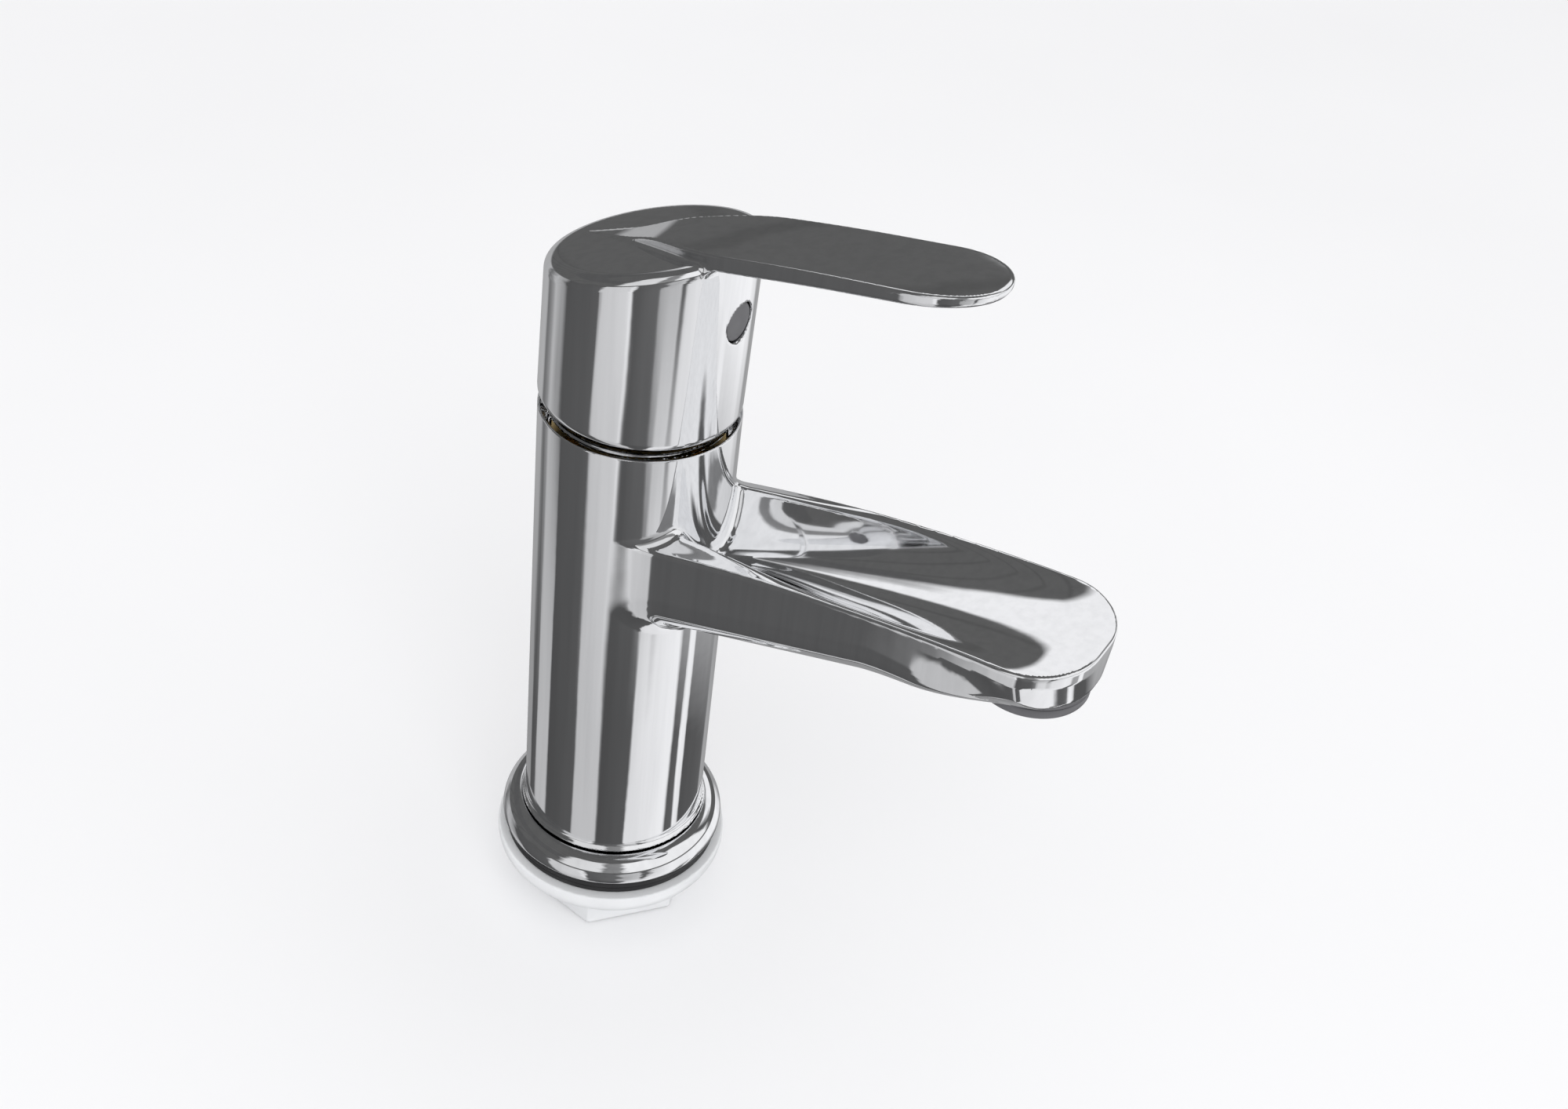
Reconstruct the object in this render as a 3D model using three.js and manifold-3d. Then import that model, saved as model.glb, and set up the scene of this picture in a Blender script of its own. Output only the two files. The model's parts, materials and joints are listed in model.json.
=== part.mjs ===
// Single-lever basin mixer: a round column cast in one piece with a broad dished spout, a ceramic
// cartridge under a lever handle, and a flanged back-nut that clamps it to the basin.
// Millimetres, +Z up. The origin is on the column's axis in the plane of the basin's top face.
// The spout and the lever point along -Y, and the mixer is symmetric about X = 0.

import * as THREE from 'three';
import { mergeVertices } from 'three/addons/utils/BufferGeometryUtils.js';
import Module from 'manifold-3d';

const wasm = await Module();
wasm.setup();

// ---------------------------------------------------------------- driving dimensions
const GAP = 0.3;                  // clearance between pieces that touch
const EDGE_BREAK = 0.3;           // small chamfer on a turned edge
const OVERCUT = 1;                // how far a cutting shape runs past the face it cuts
const FAR = 60;                   // longer than any section it trims
const ROUND = 48;                 // facets round the large turned pieces
const SMALL_ROUND = 20;           // facets round the small turned pieces

const COLUMN_R = 23;
const RIM_Z = 128.2;              // top edge of the column
const RIM_BEVEL = 1.6;
const RIM_RECESS_R = 21.6;        // the lifted handle's skirt dips in here
const RIM_RECESS_Z = 121.9;

const GASKET_T = 1.6;
const GASKET_R = 27.9;
const RING_R = 28.65;             // base ring round the foot of the column
const RING_TOP_Z = 8.2;
const WASHER_T = 1.6;
const WASHER_R = 27.6;

const NUT_FLANGE_R = 29.8;
const NUT_FLANGE_T = 7.4;
const NUT_HEX_R = 22.5;           // centre to corner
const NUT_HEX_T = 10.8;
const NUT_HEX_TURN = THREE.MathUtils.degToRad(-8);
const NUT_FILLET = [4, 0.5, 1.5]; // in from the corner, out from it, and down, where hexagon meets flange
const NUT_EDGE = [[2.6, 0.8], [0.6, 2.6], [0, 4.4]];      // the flange's round lower edge: inset, height

const SHANK_R = 15;
const SHANK_BORE_R = 12.4;
const SHANK_TOP_Z = 12.3;
const SHANK_BOTTOM_Z = -20;
const SHANK_SEAL_T = 1.7;
const RING_REBATE = 2;            // step under the base ring for its seal
const RING_REBATE_H = 2.7;
const RING_FOOT_H = 0.7;
const RING_STEPS = 6;
const RING_SWEEP = 0.48 * Math.PI;
const RING_SEAL_R = 0.8;
const RING_SEAL_FACETS = 6;
const HOLLOW_R = 18.6;            // room for the supply hoses inside the column
const HOLLOW_TOP_Z = 83;
const HOLLOW_NECK_H = 2.5;        // narrow land over the shank seal
const HOLLOW_FLARE_H = 6;

const SPOUT_REACH = 116.5;        // column axis to the spout's tip
const SPOUT_HALF_WIDTH = 19.6;
const SPOUT_ROOT_HALF_WIDTH = 18.4;
const SPOUT_EDGE_Z = 100.7;       // its top edge, carried back to the column's axis
const SPOUT_EDGE_RISE = 18.2;     // from there to the tip
const SPOUT_FOOT_Z = 76;          // its underside, carried back to the column's axis
const SPOUT_UNDER_SLOPE = 0.284;
const SPOUT_UNDER_EASE = 28.5;    // length at the tip where the underside flattens
const SPOUT_UNDER_BEND = 12;
const SPOUT_ARCH = 0.92;          // fullness of the arch in the upper edge
const SPOUT_TIP_LENGTH = 20;
const SPOUT_TIP_PULL = 13;
const SPOUT_TIP_FLAT = 14;
const SPOUT_TIP_BULGE = 0.4;
const HULL_SIDE_H = 12;           // the hull's underside rounds into its sides up to here
const HULL_FLAT = 12;
const HULL_SHOULDER_H = 3;
const HULL_LENGTH = 150;
const DISH_RIM = 0.6;             // land left beside the dish
const DISH_START_RISE = 6.4;      // the upper edge's rise at the column's face
const DISH_DEPTH = 9;
const DISH_SLOPE = 0.215;

const AERATOR_Y = -102.5;
const AERATOR_R = 11.9;
const AERATOR_FLANGE_R = 13;
const AERATOR_FACE_Z = 102.4;     // lowest face of the aerator
const AERATOR_SEAT_Z = 107.6;
const AERATOR_ROOM_Z = 110.8;     // roof of the space above the aerator
const AERATOR_SKIRT_H = 1.4;      // part of the housing inside the spout
const AERATOR_WALL = 1.1;
const AERATOR_LIP = 1.9;
const AERATOR_LIP_T = 1;
const INSERT_T = 2;
const INSERT_INSET = 1.4;
const CELL = 2.4;                 // side of one square cell
const CELL_PITCH = 3.2;
const CELL_MARGIN = 4;
const SCREEN_T = 0.9;
const SCREEN_BORE_R = 1.4;
const AERATOR_SEAL_T = 1.1;
const AERATOR_SEAL_W = 2.5;

const SEAT_Z = 93;                // floor that the cartridge stands on
const PORT_R = 3.6;
const PORT_X = 7.5;               // hot and cold inlets, either side of the centre
const PORT_Y = 5;
const OUTLET_Y = -8.5;
const OUTLET_DEPTH = 4.6;
const WATERWAY_HALF = [6.5, 2.2];
const WATERWAY_DROP = 2.4;
const WATERWAY_BACK = 4;
const PORT_SEAL_W = 1.4;
const PORT_SEAL_T = 1.3;
const PORT_SEAT_W = 1.7;

const CARTRIDGE_R = 17.4;
const CAVITY_R = 15.8;            // inside the cartridge housing
const NECK_R = 13.2;
const NECK_BORE_R = 11;
const NECK_TOP_Z = 136;
const SHOULDER_Z = 117.2;         // the retaining nut bears on this
const NUT_BORE_R = 20;
const CARTRIDGE_BASE_T = 4;
const DISC_T = 4;
const FIXED_DISC_R = 15.2;
const MOVING_DISC_R = 10.2;
const MOVING_DISC_Y = 4.2;        // closed position; it slides towards -Y to open
const HOUSING_ROOF_T = 1.6;
const HOUSING_NECK_BREAK = 0.8;
const MIXING_HALF_X = 4;          // blind chamber in the moving disc
const MIXING_FRONT = 6.5;
const MIXING_REAR = 3.5;
const MIXING_DEPTH = 2;
const CARRIER_DROP = 3.7;
const CARRIER_OFFSET = 0.5;
const POCKET_DEPTH = 0.9;
const POCKET_SIDE = 0.5;
const POCKET_PLAY = 1.4;          // lets the stem's toe swing on its arc
const NUT_T = 4.2;
const NUT_NOTCH_HALF = 2;
const NUT_NOTCH_R = 15.4;
const NUT_NOTCHES = 6;

const PIVOT_Z = 139.5;            // axis that the lever tilts about
const HANDLE_LEAN = THREE.MathUtils.degToRad(1.5);
const STEM_W = 7;
const STEM_REACH = 29.5;          // pivot to the stem's lower end
const STEM_TOE_HALF = 2;
const STEM_TOP = 22;
const PIN_R = 1.6;
const TURNTABLE_R = 10.7;
const TURNTABLE_FLANGE_T = 1.4;
const TURNTABLE_HEAD = 2.6;       // above the pivot
const TURNTABLE_SLOT = [-9.4, 7]; // front and back of the stem's slot
const PIN_HALF = 9.8;
const STEM_FOOT = 8;              // the square bar ends this far below the pivot

// The handle is built upright, measured from its pivot, and then leans forward as one group.
const SKIRT_BOTTOM = -12.3;
const SKIRT_BOTTOM_R = 20.9;
const SKIRT_LIP = 1.4;             // straight lip below the bevel, inside the column's rim
const SKIRT_BEVEL = 3;
const SKIRT_BORE_R = 18.4;
const SKIRT_ROOF = 12;
const HANDLE_TOP = 30.3;          // top face on the handle's axis
const HANDLE_TOP_SLOPE = 0.308;   // the top face rises towards the front
const LEVER_TOP = 35.6;           // the lever's upper edge, carried back to the handle's axis
const LEVER_SLOPE = 0.205;
const LEVER_T = 3.7;
const LEVER_HALF_WIDTH = 12;
const LEVER_FORK = 18;            // its sides run parallel from here forward
const LEVER_REACH = 79;
const LEVER_BACK = 15;           // where the lever's rear point fades into the top face
const BUTTON_Z = 19.2;
const BUTTON_R = 4.4;
const BUTTON_FACE_Y = -22.3;
const BUTTON_T = 2.4;
const SCREW_R = 2.4;
const SCREW_LENGTH = 8;
const SCREW_KEY_R = 1.4;
const SCREW_KEY_DEPTH = 2.5;
const SCREW_HOLE_LENGTH = 20;
const BUTTON_SEAT_LENGTH = 8;
const LEVER_TIP_LENGTH = 17;
const LEVER_TIP_PULL = 9;
const LEVER_TIP_FLAT = 7;
const LEVER_BEND = 14;            // the upper edge droops from here to the tip
const LEVER_DROOP = 0.8;
const LEVER_CREST = 2.7;          // the lever's height over the top face at the handle's axis
const LEVER_ROOT_DEPTH = [6, 7];  // how deep it is buried in the top face, back and front
const LEVER_ROOT_SPAN = 8;

// ---------------------------------------------------------------- shape helpers
function lathe(profile, segments = ROUND) {
  const points = profile.map(([r, z]) => new THREE.Vector2(r, z));
  return new THREE.LatheGeometry(points, segments).rotateX(Math.PI / 2);
}

// A plain round rod along Z.
function rod(radius, z0, z1, segments = ROUND) {
  return lathe([[0, z0], [radius, z0], [radius, z1], [0, z1]], segments);
}

// A plain round rod along X, centred on the origin.
function crossRod(radius, half) {
  return rod(radius, -half, half, SMALL_ROUND).rotateY(Math.PI / 2);
}

// A plain ring about Z.
function ring(inner, outer, z0, z1, segments = ROUND) {
  return lathe([[inner, z0], [outer, z0], [outer, z1], [inner, z1], [inner, z0]], segments);
}

// A box from its lowest to its highest corner.
function block(low, high) {
  const size = high.map((value, i) => value - low[i]);
  const centre = high.map((value, i) => (value + low[i]) / 2);
  return new THREE.BoxGeometry(...size).translate(...centre);
}

// A prism of an outline in X and Y, between two heights.
function prism(shape, z0, z1, curveSegments = 8) {
  const options = { depth: z1 - z0, bevelEnabled: false, curveSegments };
  return new THREE.ExtrudeGeometry(shape, options).translate(0, 0, z0);
}

// A slab of an outline seen from the side (u forward, z up), centred on X = 0.
function sideSlab(shape, width, curveSegments = 8) {
  const options = { depth: width, bevelEnabled: false, curveSegments };
  const slab = new THREE.ExtrudeGeometry(shape, options).translate(0, 0, -width / 2);
  const axes = new THREE.Matrix4().makeBasis(
    new THREE.Vector3(0, -1, 0), new THREE.Vector3(0, 0, 1), new THREE.Vector3(-1, 0, 0));
  return slab.applyMatrix4(axes);
}

// A closed geometry as a solid that can be joined and cut.
function solid(geometry) {
  const bare = geometry.clone();
  bare.deleteAttribute('normal');
  bare.deleteAttribute('uv');
  const merged = mergeVertices(bare, 1e-4);
  const corners = merged.index.array;
  const kept = [];
  for (let i = 0; i < corners.length; i += 3) {
    const [a, b, c] = [corners[i], corners[i + 1], corners[i + 2]];
    if (a !== b && b !== c && c !== a) kept.push(a, b, c);
  }
  const vertProperties = merged.attributes.position.array;
  const triVerts = new Uint32Array(kept);
  return new wasm.Manifold(new wasm.Mesh({ numProp: 3, vertProperties, triVerts }));
}

function geometryOf(manifold) {
  const mesh = manifold.getMesh();
  const geometry = new THREE.BufferGeometry();
  geometry.setAttribute('position', new THREE.BufferAttribute(mesh.vertProperties, 3));
  geometry.setIndex(new THREE.BufferAttribute(mesh.triVerts, 1));
  geometry.computeVertexNormals();
  return geometry;
}

// One geometry less any number of others.
function cut(base, ...tools) {
  return geometryOf(tools.reduce((left, tool) => left.subtract(solid(tool)), solid(base)));
}

function join(first, ...others) {
  return geometryOf(others.reduce((sum, other) => sum.add(solid(other)), solid(first)));
}

function common(first, ...others) {
  return geometryOf(others.reduce((left, other) => left.intersect(solid(other)), solid(first)));
}

// ---------------------------------------------------------------- materials
const FINISH = {
  chrome: { color: 0xd9dbde, roughness: 0.06, metalness: 1 },
  brass: { color: 0xb8964e, roughness: 0.3, metalness: 1 },
  steel: { color: 0xb5b8bc, roughness: 0.25, metalness: 1 },
  rubber: { color: 0x161618, roughness: 0.75, metalness: 0 },
  ceramic: { color: 0xf1efe9, roughness: 0.18, metalness: 0 },
  whitePlastic: { color: 0xf2f3f4, roughness: 0.4, metalness: 0 },
  greyPlastic: { color: 0x77787c, roughness: 0.4, metalness: 0 },
  bluePlastic: { color: 0x3c5c8c, roughness: 0.45, metalness: 0 },
};

function piece(name, geometry, finish) {
  const mesh = new THREE.Mesh(geometry, new THREE.MeshStandardMaterial(FINISH[finish]));
  mesh.name = name;
  return mesh;
}

// ---------------------------------------------------------------- body casting
// The spout as seen from above: straight sides that widen a little and a broad round tip.
function spoutPlan() {
  const side = SPOUT_REACH - SPOUT_TIP_LENGTH;
  const bulge = SPOUT_HALF_WIDTH + SPOUT_TIP_BULGE;
  const pull = -side - SPOUT_TIP_PULL;
  const plan = new THREE.Shape();
  plan.moveTo(-SPOUT_ROOT_HALF_WIDTH, 0);
  plan.lineTo(-SPOUT_HALF_WIDTH, -side);
  plan.bezierCurveTo(-bulge, pull, -SPOUT_TIP_FLAT, -SPOUT_REACH, 0, -SPOUT_REACH);
  plan.bezierCurveTo(SPOUT_TIP_FLAT, -SPOUT_REACH, bulge, pull, SPOUT_HALF_WIDTH, -side);
  plan.lineTo(SPOUT_ROOT_HALF_WIDTH, 0);
  plan.closePath();
  return plan;
}

// The spout as seen from the side: the underside climbs in a straight line and eases off
// under the tip, and the upper edge is a shallow arch.
function spoutSide() {
  const middle = SPOUT_REACH / 2;
  const archZ = SPOUT_EDGE_Z + SPOUT_ARCH * SPOUT_EDGE_RISE;
  const bendU = SPOUT_REACH - SPOUT_UNDER_BEND;
  const past = SPOUT_REACH + OVERCUT;
  const nearTip = SPOUT_REACH - SPOUT_UNDER_EASE;
  const side = new THREE.Shape();
  side.moveTo(0, SPOUT_FOOT_Z);
  side.lineTo(nearTip, SPOUT_FOOT_Z + SPOUT_UNDER_SLOPE * nearTip);
  side.quadraticCurveTo(bendU, AERATOR_SEAT_Z + EDGE_BREAK, past, AERATOR_SEAT_Z + 2 * EDGE_BREAK);
  side.lineTo(past, SPOUT_EDGE_Z + SPOUT_EDGE_RISE);
  side.quadraticCurveTo(middle, archZ, 0, SPOUT_EDGE_Z);
  side.closePath();
  return side;
}

// The spout's hull in cross-section, swept along the slope of its underside.
function spoutHull() {
  const wide = SPOUT_HALF_WIDTH + 2 * OVERCUT;
  const shoulder = wide - OVERCUT;
  const section = new THREE.Shape();
  section.moveTo(-wide, FAR);
  section.lineTo(-wide, HULL_SIDE_H);
  section.bezierCurveTo(-shoulder, HULL_SHOULDER_H, -HULL_FLAT, 0, 0, 0);
  section.bezierCurveTo(HULL_FLAT, 0, shoulder, HULL_SHOULDER_H, wide, HULL_SIDE_H);
  section.lineTo(wide, FAR);
  section.closePath();
  const options = { depth: HULL_LENGTH, bevelEnabled: false, curveSegments: 6 };
  const tilt = Math.atan(SPOUT_UNDER_SLOPE);
  return new THREE.ExtrudeGeometry(section, options)
    .rotateX(Math.PI / 2 - tilt)
    .translate(0, 0, SPOUT_FOOT_Z);
}

// The scoop in the spout's top, deepest at the column and running out at the tip.
function spoutDish() {
  const half = SPOUT_ROOT_HALF_WIDTH - DISH_RIM;
  const radius = (half * half + DISH_DEPTH * DISH_DEPTH) / (2 * DISH_DEPTH);
  const floorZ = SPOUT_EDGE_Z + DISH_START_RISE - DISH_DEPTH;
  return rod(radius, -COLUMN_R / 2, HULL_LENGTH)
    .rotateX(Math.PI / 2 - Math.atan(DISH_SLOPE))
    .translate(0, -COLUMN_R, floorZ + radius);
}

function spoutSolid() {
  const outline = prism(spoutPlan(), SPOUT_FOOT_Z - FAR, SPOUT_FOOT_Z + FAR);
  const hull = common(outline, sideSlab(spoutSide(), FAR), spoutHull());
  return cut(hull, spoutDish());
}

// Water runs from the cartridge's outlet up the spout to the space over the aerator.
function waterway() {
  const start = [OUTLET_Y, SEAT_Z - OUTLET_DEPTH];
  const end = [AERATOR_Y, AERATOR_ROOM_Z - WATERWAY_DROP];
  const [halfX, halfZ] = WATERWAY_HALF;
  const length = Math.hypot(end[0] - start[0], end[1] - start[1]);
  const tilt = Math.atan2(end[1] - start[1], start[0] - end[0]);
  return block([-halfX, -length, -halfZ], [halfX, WATERWAY_BACK, halfZ])
    .rotateX(-tilt)
    .translate(0, start[0], start[1]);
}

function faucetBody() {
  const foot = GASKET_T + GAP;
  const rimInnerR = COLUMN_R - 2 * EDGE_BREAK;
  const column = lathe([[0, foot], [COLUMN_R, foot], [COLUMN_R, RIM_Z - EDGE_BREAK],
    [COLUMN_R - EDGE_BREAK, RIM_Z],
    [0, RIM_Z]]);
  const chamber = lathe([[0, SEAT_Z], [CARTRIDGE_R + GAP, SEAT_Z], [CARTRIDGE_R + GAP, SHOULDER_Z],
    [NUT_BORE_R, SHOULDER_Z], [NUT_BORE_R, RIM_RECESS_Z], [RIM_RECESS_R, RIM_RECESS_Z],
    [RIM_RECESS_R, RIM_Z - RIM_BEVEL], [rimInnerR, RIM_Z], [rimInnerR, RIM_Z + OVERCUT],
    [0, RIM_Z + OVERCUT]]);
  const ledge = SHANK_TOP_Z + GAP + SHANK_SEAL_T + GAP;
  const hollow = lathe([[0, 0], [SHANK_R + GAP, 0], [SHANK_R + GAP, ledge], [SHANK_BORE_R + GAP, ledge],
    [SHANK_BORE_R + GAP, ledge + HOLLOW_NECK_H], [HOLLOW_R, ledge + HOLLOW_FLARE_H], [HOLLOW_R, HOLLOW_TOP_Z],
    [0, HOLLOW_TOP_Z]]);
  const port = rod(PORT_R, HOLLOW_TOP_Z - OVERCUT, SEAT_Z + OVERCUT, SMALL_ROUND);
  const hot = port.clone().translate(PORT_X, PORT_Y, 0);
  const cold = port.clone().translate(-PORT_X, PORT_Y, 0);
  const outlet = rod(PORT_R, SEAT_Z - OUTLET_DEPTH, SEAT_Z + OVERCUT, SMALL_ROUND)
    .translate(0, OUTLET_Y, 0);
  const below = AERATOR_SEAT_Z - HULL_SIDE_H;
  const spotFace = rod(AERATOR_FLANGE_R + GAP, below, AERATOR_SEAT_Z).translate(0, AERATOR_Y, 0);
  const aeratorRoom = rod(AERATOR_R + GAP, below, AERATOR_ROOM_Z).translate(0, AERATOR_Y, 0);
  const cavities = [chamber, hollow, hot, cold, outlet, waterway(), spotFace, aeratorRoom];
  return cut(join(column, spoutSolid()), ...cavities);
}

// ---------------------------------------------------------------- deck fixing
// The base ring is a fat half-round that hugs the column, with a rebate for its seal.
function baseRing() {
  const bottom = GASKET_T + GAP;
  const bore = COLUMN_R + GAP;
  const footZ = bottom + RING_FOOT_H;
  const rebateR = bore + RING_REBATE;
  const profile = [[rebateR, bottom], [RING_R - 2 * EDGE_BREAK, bottom]];
  for (let i = 0; i <= RING_STEPS; i += 1) {
    const angle = (i / RING_STEPS) * RING_SWEEP;
    const r = bore + (RING_R - bore) * Math.cos(angle);
    profile.push([r, footZ + (RING_TOP_Z - footZ) * Math.sin(angle)]);
  }
  profile.push([bore, RING_TOP_Z - EDGE_BREAK], [bore, bottom + RING_REBATE_H]);
  profile.push([rebateR, bottom + RING_REBATE_H], [rebateR, bottom]);
  return lathe(profile);
}

function baseRingSeal() {
  const middleR = COLUMN_R + GAP + RING_REBATE / 2;
  const middleZ = GASKET_T + GAP + RING_REBATE_H / 2;
  return new THREE.TorusGeometry(middleR, RING_SEAL_R, RING_SEAL_FACETS, ROUND).translate(0, 0, middleZ);
}

// A flange dished under its rim, with a hexagon for the spanner, in one moulding.
function mountingNut() {
  const top = -GAP - WASHER_T - GAP;
  const hexTop = top - NUT_FLANGE_T;
  const bottom = hexTop - NUT_HEX_T;
  const [inwards, outwards, drop] = NUT_FILLET;
  const edge = NUT_EDGE.map(([inset, rise]) => [NUT_FLANGE_R - inset, hexTop + rise]);
  const flange = lathe([[0, hexTop - drop], [NUT_HEX_R - inwards, hexTop - drop],
    [NUT_HEX_R + outwards, hexTop], ...edge, [NUT_FLANGE_R, top], [0, top]]);
  const depth = NUT_HEX_T + OVERCUT;
  const hexagon = new THREE.CylinderGeometry(NUT_HEX_R, NUT_HEX_R, depth, 6)
    .rotateX(Math.PI / 2)
    .rotateZ(NUT_HEX_TURN)
    .translate(0, 0, bottom + depth / 2);
  return cut(join(flange, hexagon), rod(SHANK_R + GAP, bottom - OVERCUT, top + OVERCUT));
}

// ---------------------------------------------------------------- cartridge
function portHoles(z0, z1, radius = PORT_R) {
  const hole = rod(radius, z0, z1, SMALL_ROUND);
  return [hole.clone().translate(PORT_X, PORT_Y, 0), hole.clone().translate(-PORT_X, PORT_Y, 0),
    hole.clone().translate(0, OUTLET_Y, 0)];
}

const baseZ = SEAT_Z + GAP;
const fixedDiscZ = baseZ + CARTRIDGE_BASE_T + GAP;
const movingDiscZ = fixedDiscZ + DISC_T + GAP;
const carrierZ = movingDiscZ + DISC_T + GAP;
const carrierTopZ = SHOULDER_Z - CARRIER_DROP;

// The base is counterbored from below for the three seals round its ports.
function cartridgeBase() {
  const plate = rod(CARTRIDGE_R, baseZ, baseZ + CARTRIDGE_BASE_T);
  const sealSeats = portHoles(baseZ - OVERCUT, baseZ + PORT_SEAL_T + GAP, PORT_R + PORT_SEAT_W);
  return cut(plate, ...portHoles(baseZ - OVERCUT, fixedDiscZ), ...sealSeats);
}

function portSeal(x, y) {
  return ring(PORT_R, PORT_R + PORT_SEAL_W, baseZ, baseZ + PORT_SEAL_T, SMALL_ROUND).translate(x, y, 0);
}

function cartridgeHousing() {
  const bottom = baseZ + CARTRIDGE_BASE_T + GAP;
  const roofZ = SHOULDER_Z - HOUSING_ROOF_T;
  return lathe([[CAVITY_R, bottom], [CARTRIDGE_R, bottom], [CARTRIDGE_R, SHOULDER_Z],
    [NECK_R, SHOULDER_Z], [NECK_R, NECK_TOP_Z - HOUSING_NECK_BREAK],
    [NECK_R - HOUSING_NECK_BREAK, NECK_TOP_Z], [NECK_BORE_R, NECK_TOP_Z], [NECK_BORE_R, roofZ],
    [CAVITY_R, roofZ], [CAVITY_R, bottom]]);
}

function fixedDisc() {
  const disc = rod(FIXED_DISC_R, fixedDiscZ, fixedDiscZ + DISC_T);
  return cut(disc, ...portHoles(fixedDiscZ - OVERCUT, movingDiscZ));
}

// The moving disc has a blind mixing chamber in its lower face.
function movingDisc() {
  const disc = rod(MOVING_DISC_R, movingDiscZ, movingDiscZ + DISC_T).translate(0, MOVING_DISC_Y, 0);
  const low = [-MIXING_HALF_X, -MIXING_FRONT, movingDiscZ - OVERCUT];
  const high = [MIXING_HALF_X, MIXING_REAR, movingDiscZ + MIXING_DEPTH];
  return cut(disc, block(low, high).translate(0, MOVING_DISC_Y, 0));
}

// The carrier's pocket takes the stem's lower end.
function discCarrier() {
  const pocketY = STEM_REACH * Math.sin(HANDLE_LEAN);
  const pocketZ = PIVOT_Z - STEM_REACH - POCKET_DEPTH;
  const boss = rod(MOVING_DISC_R - CARRIER_OFFSET, carrierZ, carrierTopZ)
    .translate(0, MOVING_DISC_Y - CARRIER_OFFSET, 0);
  const [halfX, halfY] = [STEM_TOE_HALF + POCKET_SIDE, STEM_TOE_HALF + POCKET_PLAY];
  return cut(boss, block([-halfX, pocketY - halfY, pocketZ], [halfX, pocketY + halfY, SHOULDER_Z]));
}

// The turntable turns in the neck, keeps in place by its foot flange, and is slotted for the stem.
function turntable() {
  const footZ = SHOULDER_Z - HOUSING_ROOF_T - GAP;
  const flangeZ = footZ - TURNTABLE_FLANGE_T;
  const top = PIVOT_Z + TURNTABLE_HEAD;
  const rotor = lathe([[0, flangeZ], [NECK_R, flangeZ], [NECK_R, footZ], [TURNTABLE_R, footZ],
    [TURNTABLE_R, top], [0, top]]);
  const half = STEM_W / 2 + GAP;
  const [front, back] = TURNTABLE_SLOT;
  const slot = block([-half, front, flangeZ - OVERCUT], [half, back, top + OVERCUT]);
  const pinHole = crossRod(PIN_R + GAP, TURNTABLE_R + OVERCUT).translate(0, 0, PIVOT_Z);
  return cut(rotor, slot, pinHole);
}

function stemPin() {
  return crossRod(PIN_R, PIN_HALF).translate(0, 0, PIVOT_Z);
}

function cartridgeNut() {
  const bottom = SHOULDER_Z + GAP;
  const nut = ring(NECK_R + GAP, NUT_BORE_R - GAP, bottom, bottom + NUT_T);
  const low = [-NUT_NOTCH_HALF, NUT_NOTCH_R, bottom + NUT_T / 2];
  const notch = block(low, [NUT_NOTCH_HALF, NUT_BORE_R + OVERCUT, bottom + NUT_T + OVERCUT]);
  const turns = Array.from({ length: NUT_NOTCHES }, (_, i) => i * 2 * Math.PI / NUT_NOTCHES);
  const notches = turns.map((angle) => notch.clone().rotateZ(angle));
  return cut(nut, ...notches);
}

// ---------------------------------------------------------------- aerator
function aeratorHousing() {
  const lipR = AERATOR_R - AERATOR_LIP;
  const boreR = AERATOR_R - AERATOR_WALL;
  const lipZ = AERATOR_FACE_Z + AERATOR_LIP_T;
  const seatZ = AERATOR_SEAT_Z - GAP;
  const topZ = AERATOR_SEAT_Z + AERATOR_SKIRT_H;
  return lathe([[lipR, AERATOR_FACE_Z], [AERATOR_FLANGE_R - EDGE_BREAK, AERATOR_FACE_Z],
    [AERATOR_FLANGE_R, AERATOR_FACE_Z + EDGE_BREAK], [AERATOR_FLANGE_R, seatZ], [AERATOR_R, seatZ],
    [AERATOR_R, topZ], [boreR, topZ], [boreR, lipZ], [lipR, lipZ],
    [lipR, AERATOR_FACE_Z]]).translate(0, AERATOR_Y, 0);
}

// A plate of square cells that evens out the flow.
function aeratorInsert() {
  const z0 = AERATOR_FACE_Z + AERATOR_LIP_T + GAP;
  const plate = rod(AERATOR_R - INSERT_INSET, z0, z0 + INSERT_T);
  const cell = block([-CELL / 2, -CELL / 2, z0 - OVERCUT], [CELL / 2, CELL / 2, z0 + INSERT_T + OVERCUT]);
  const reach = Math.floor(AERATOR_R / CELL_PITCH);
  const cells = [];
  for (let i = -reach; i <= reach; i += 1) {
    for (let j = -reach; j <= reach; j += 1) {
      const inside = Math.hypot(i, j) * CELL_PITCH < AERATOR_R - CELL_MARGIN;
      if (inside) cells.push(cell.clone().translate(i * CELL_PITCH, j * CELL_PITCH, 0));
    }
  }
  return cut(plate, ...cells).translate(0, AERATOR_Y, 0);
}

function aeratorScreen() {
  const z0 = AERATOR_FACE_Z + AERATOR_LIP_T + INSERT_T + 2 * GAP;
  const disc = ring(SCREEN_BORE_R, AERATOR_R - INSERT_INSET, z0, z0 + SCREEN_T, SMALL_ROUND);
  return disc.translate(0, AERATOR_Y, 0);
}

function aeratorSeal() {
  const z0 = AERATOR_SEAT_Z + AERATOR_SKIRT_H + GAP;
  return ring(AERATOR_R - AERATOR_SEAL_W, AERATOR_R, z0, z0 + AERATOR_SEAL_T).translate(0, AERATOR_Y, 0);
}

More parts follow.
